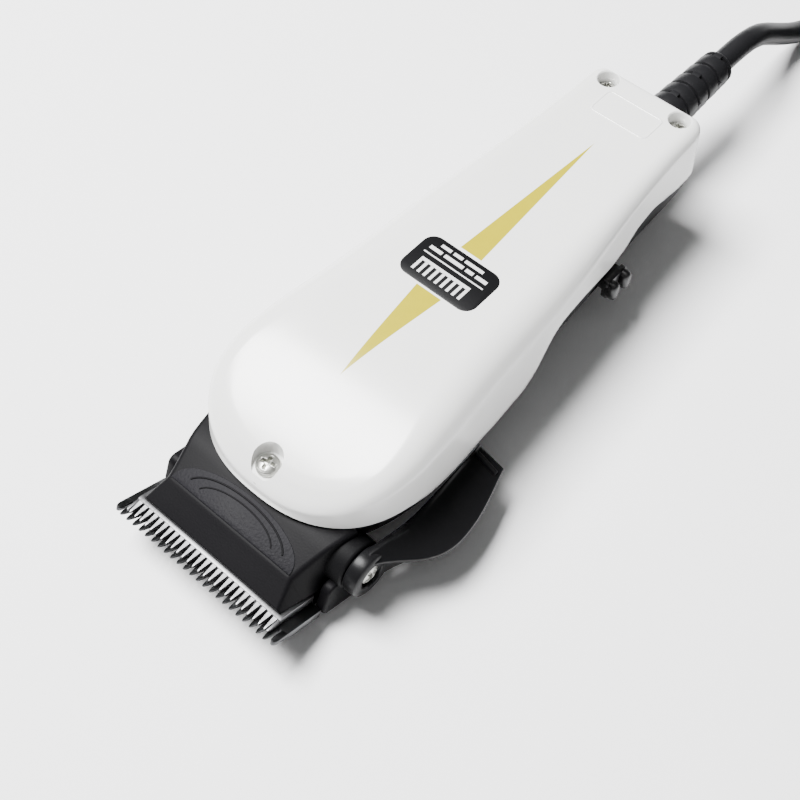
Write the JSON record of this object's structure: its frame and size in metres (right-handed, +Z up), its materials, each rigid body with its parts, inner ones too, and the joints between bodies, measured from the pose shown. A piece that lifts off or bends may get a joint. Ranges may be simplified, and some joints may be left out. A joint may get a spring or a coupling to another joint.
{
  "type": "hair clipper",
  "caption": "Corded hair clipper with a two-part shell, a tilted toothed blade set, a taper lever, a vibrator motor, a side switch and a mains cord with a coiled tail and plug.",
  "frame": {"origin": "centre plane of the clipper, in the flat underside it rests on", "axes": "+Z up through the white cover, +Y from the blade towards the cord, +X towards the taper lever and the switch"},
  "size_m": [0.1153, 0.2924, 0.0353],
  "materials": {
    "cover_white": "satin gloss white moulded shell with bright yellow stripes",
    "housing_black": "fine-grained matte black",
    "badge_black": "smooth black label",
    "zinc": "zinc-plated steel",
    "blade_fixed_steel": "ground and polished blade steel",
    "blade_steel": "satin ground blade steel",
    "acetal": "natural low-friction plastic",
    "spring_steel": "drawn spring wire and strip",
    "lever_black": "semi-gloss black moulding",
    "core_iron": "varnished stacked laminations",
    "copper": "enamelled copper wire",
    "tape": "polyester winding tape",
    "arm_alloy": "die-cast alloy",
    "brass": "plain brass",
    "rubber": "soft black rubber",
    "switch_black": "semi-gloss black moulding",
    "wire_sleeve": "insulated lead wire",
    "cord_black": "soft black cable sheath",
    "tie_black": "black strap",
    "plug_black": "moulded-on black plug",
    "pin_nickel": "nickel-plated brass pins"
  },
  "bodies": {
    "housing": {"lower_housing": "housing_black", "top_cover": "cover_white", "badge": "badge_black", "case_screw_front": "zinc", "case_screws_rear": "zinc", "stator_core": "core_iron", "coil_bobbin": "acetal", "coil_winding": "copper", "coil_tape": "tape", "stator_screws": "zinc", "leaf_screws": "zinc", "return_spring_left": "spring_steel", "return_spring_right": "spring_steel", "power_nut": "brass", "arm_bumper": "rubber", "switch_body": "acetal", "switch_contacts": "brass", "lead_wires": "wire_sleeve", "wire_connectors": "acetal", "cord_clamp": "housing_black", "clamp_screws": "zinc", "strain_relief": "cord_black", "mains_cord": "cord_black", "cord_coil": "cord_black", "coil_tie": "tie_black", "plug_body": "plug_black", "plug_pins": "pin_nickel"},
    "arm": {"drive_arm": "arm_alloy", "armature_core": "core_iron", "armature_rivets": "zinc", "arm_leaf_spring": "spring_steel", "blade_spring": "spring_steel"},
    "moving_blade": {"moving_blade": "blade_steel", "blade_guide": "acetal"},
    "blade_carriage": {"fixed_blade": "blade_fixed_steel", "cam_follower": "acetal", "blade_screws": "zinc"},
    "lever": {"taper_lever": "lever_black", "lever_cam": "zinc", "lever_screw": "zinc", "lever_washer": "zinc"},
    "switch": {"switch_slider": "switch_black"},
    "power_screw": {"power_screw": "zinc"}
  },
  "joints": [
    {"name": "arm_swing", "type": "hinge", "parent": "housing", "child": "arm", "pos_m": [0.0054, 0.052, 0.015], "axis": [0, 0, 1], "range_deg": [-0.55, 0.55], "stiffness_Nm_per_rad": 18, "deforming": ["return_spring_left", "return_spring_right", "arm_leaf_spring"]},
    {"name": "blade_stroke", "type": "slide", "parent": "housing", "child": "moving_blade", "axis": [1, 0, 0], "range_m": [-0.0013, 0.0013]},
    {"name": "blade_adjust", "type": "slide", "parent": "housing", "child": "blade_carriage", "axis": [0, -0.9205, 0.3907], "range_m": [0, 0.0018]},
    {"name": "taper_lever_turn", "type": "hinge", "parent": "housing", "child": "lever", "pos_m": [0.027, -0.0605, 0.0124], "axis": [-1, 0, 0], "range_deg": [0, 51]},
    {"name": "switch_slide", "type": "slide", "parent": "housing", "child": "switch", "axis": [0, -1, 0], "range_m": [0, 0.004]},
    {"name": "power_screw_turn", "type": "hinge", "parent": "housing", "child": "power_screw", "pos_m": [-0.02, -0.05, 0.0145], "axis": [-1, 0, 0], "range_deg": [-180, 180]}
  ],
  "couplings": [
    {"joint": "blade_stroke", "follows": "arm_swing", "m_per_rad": 0.1242},
    {"joint": "taper_lever_turn", "follows": "blade_adjust", "rad_per_m": 485}
  ]
}
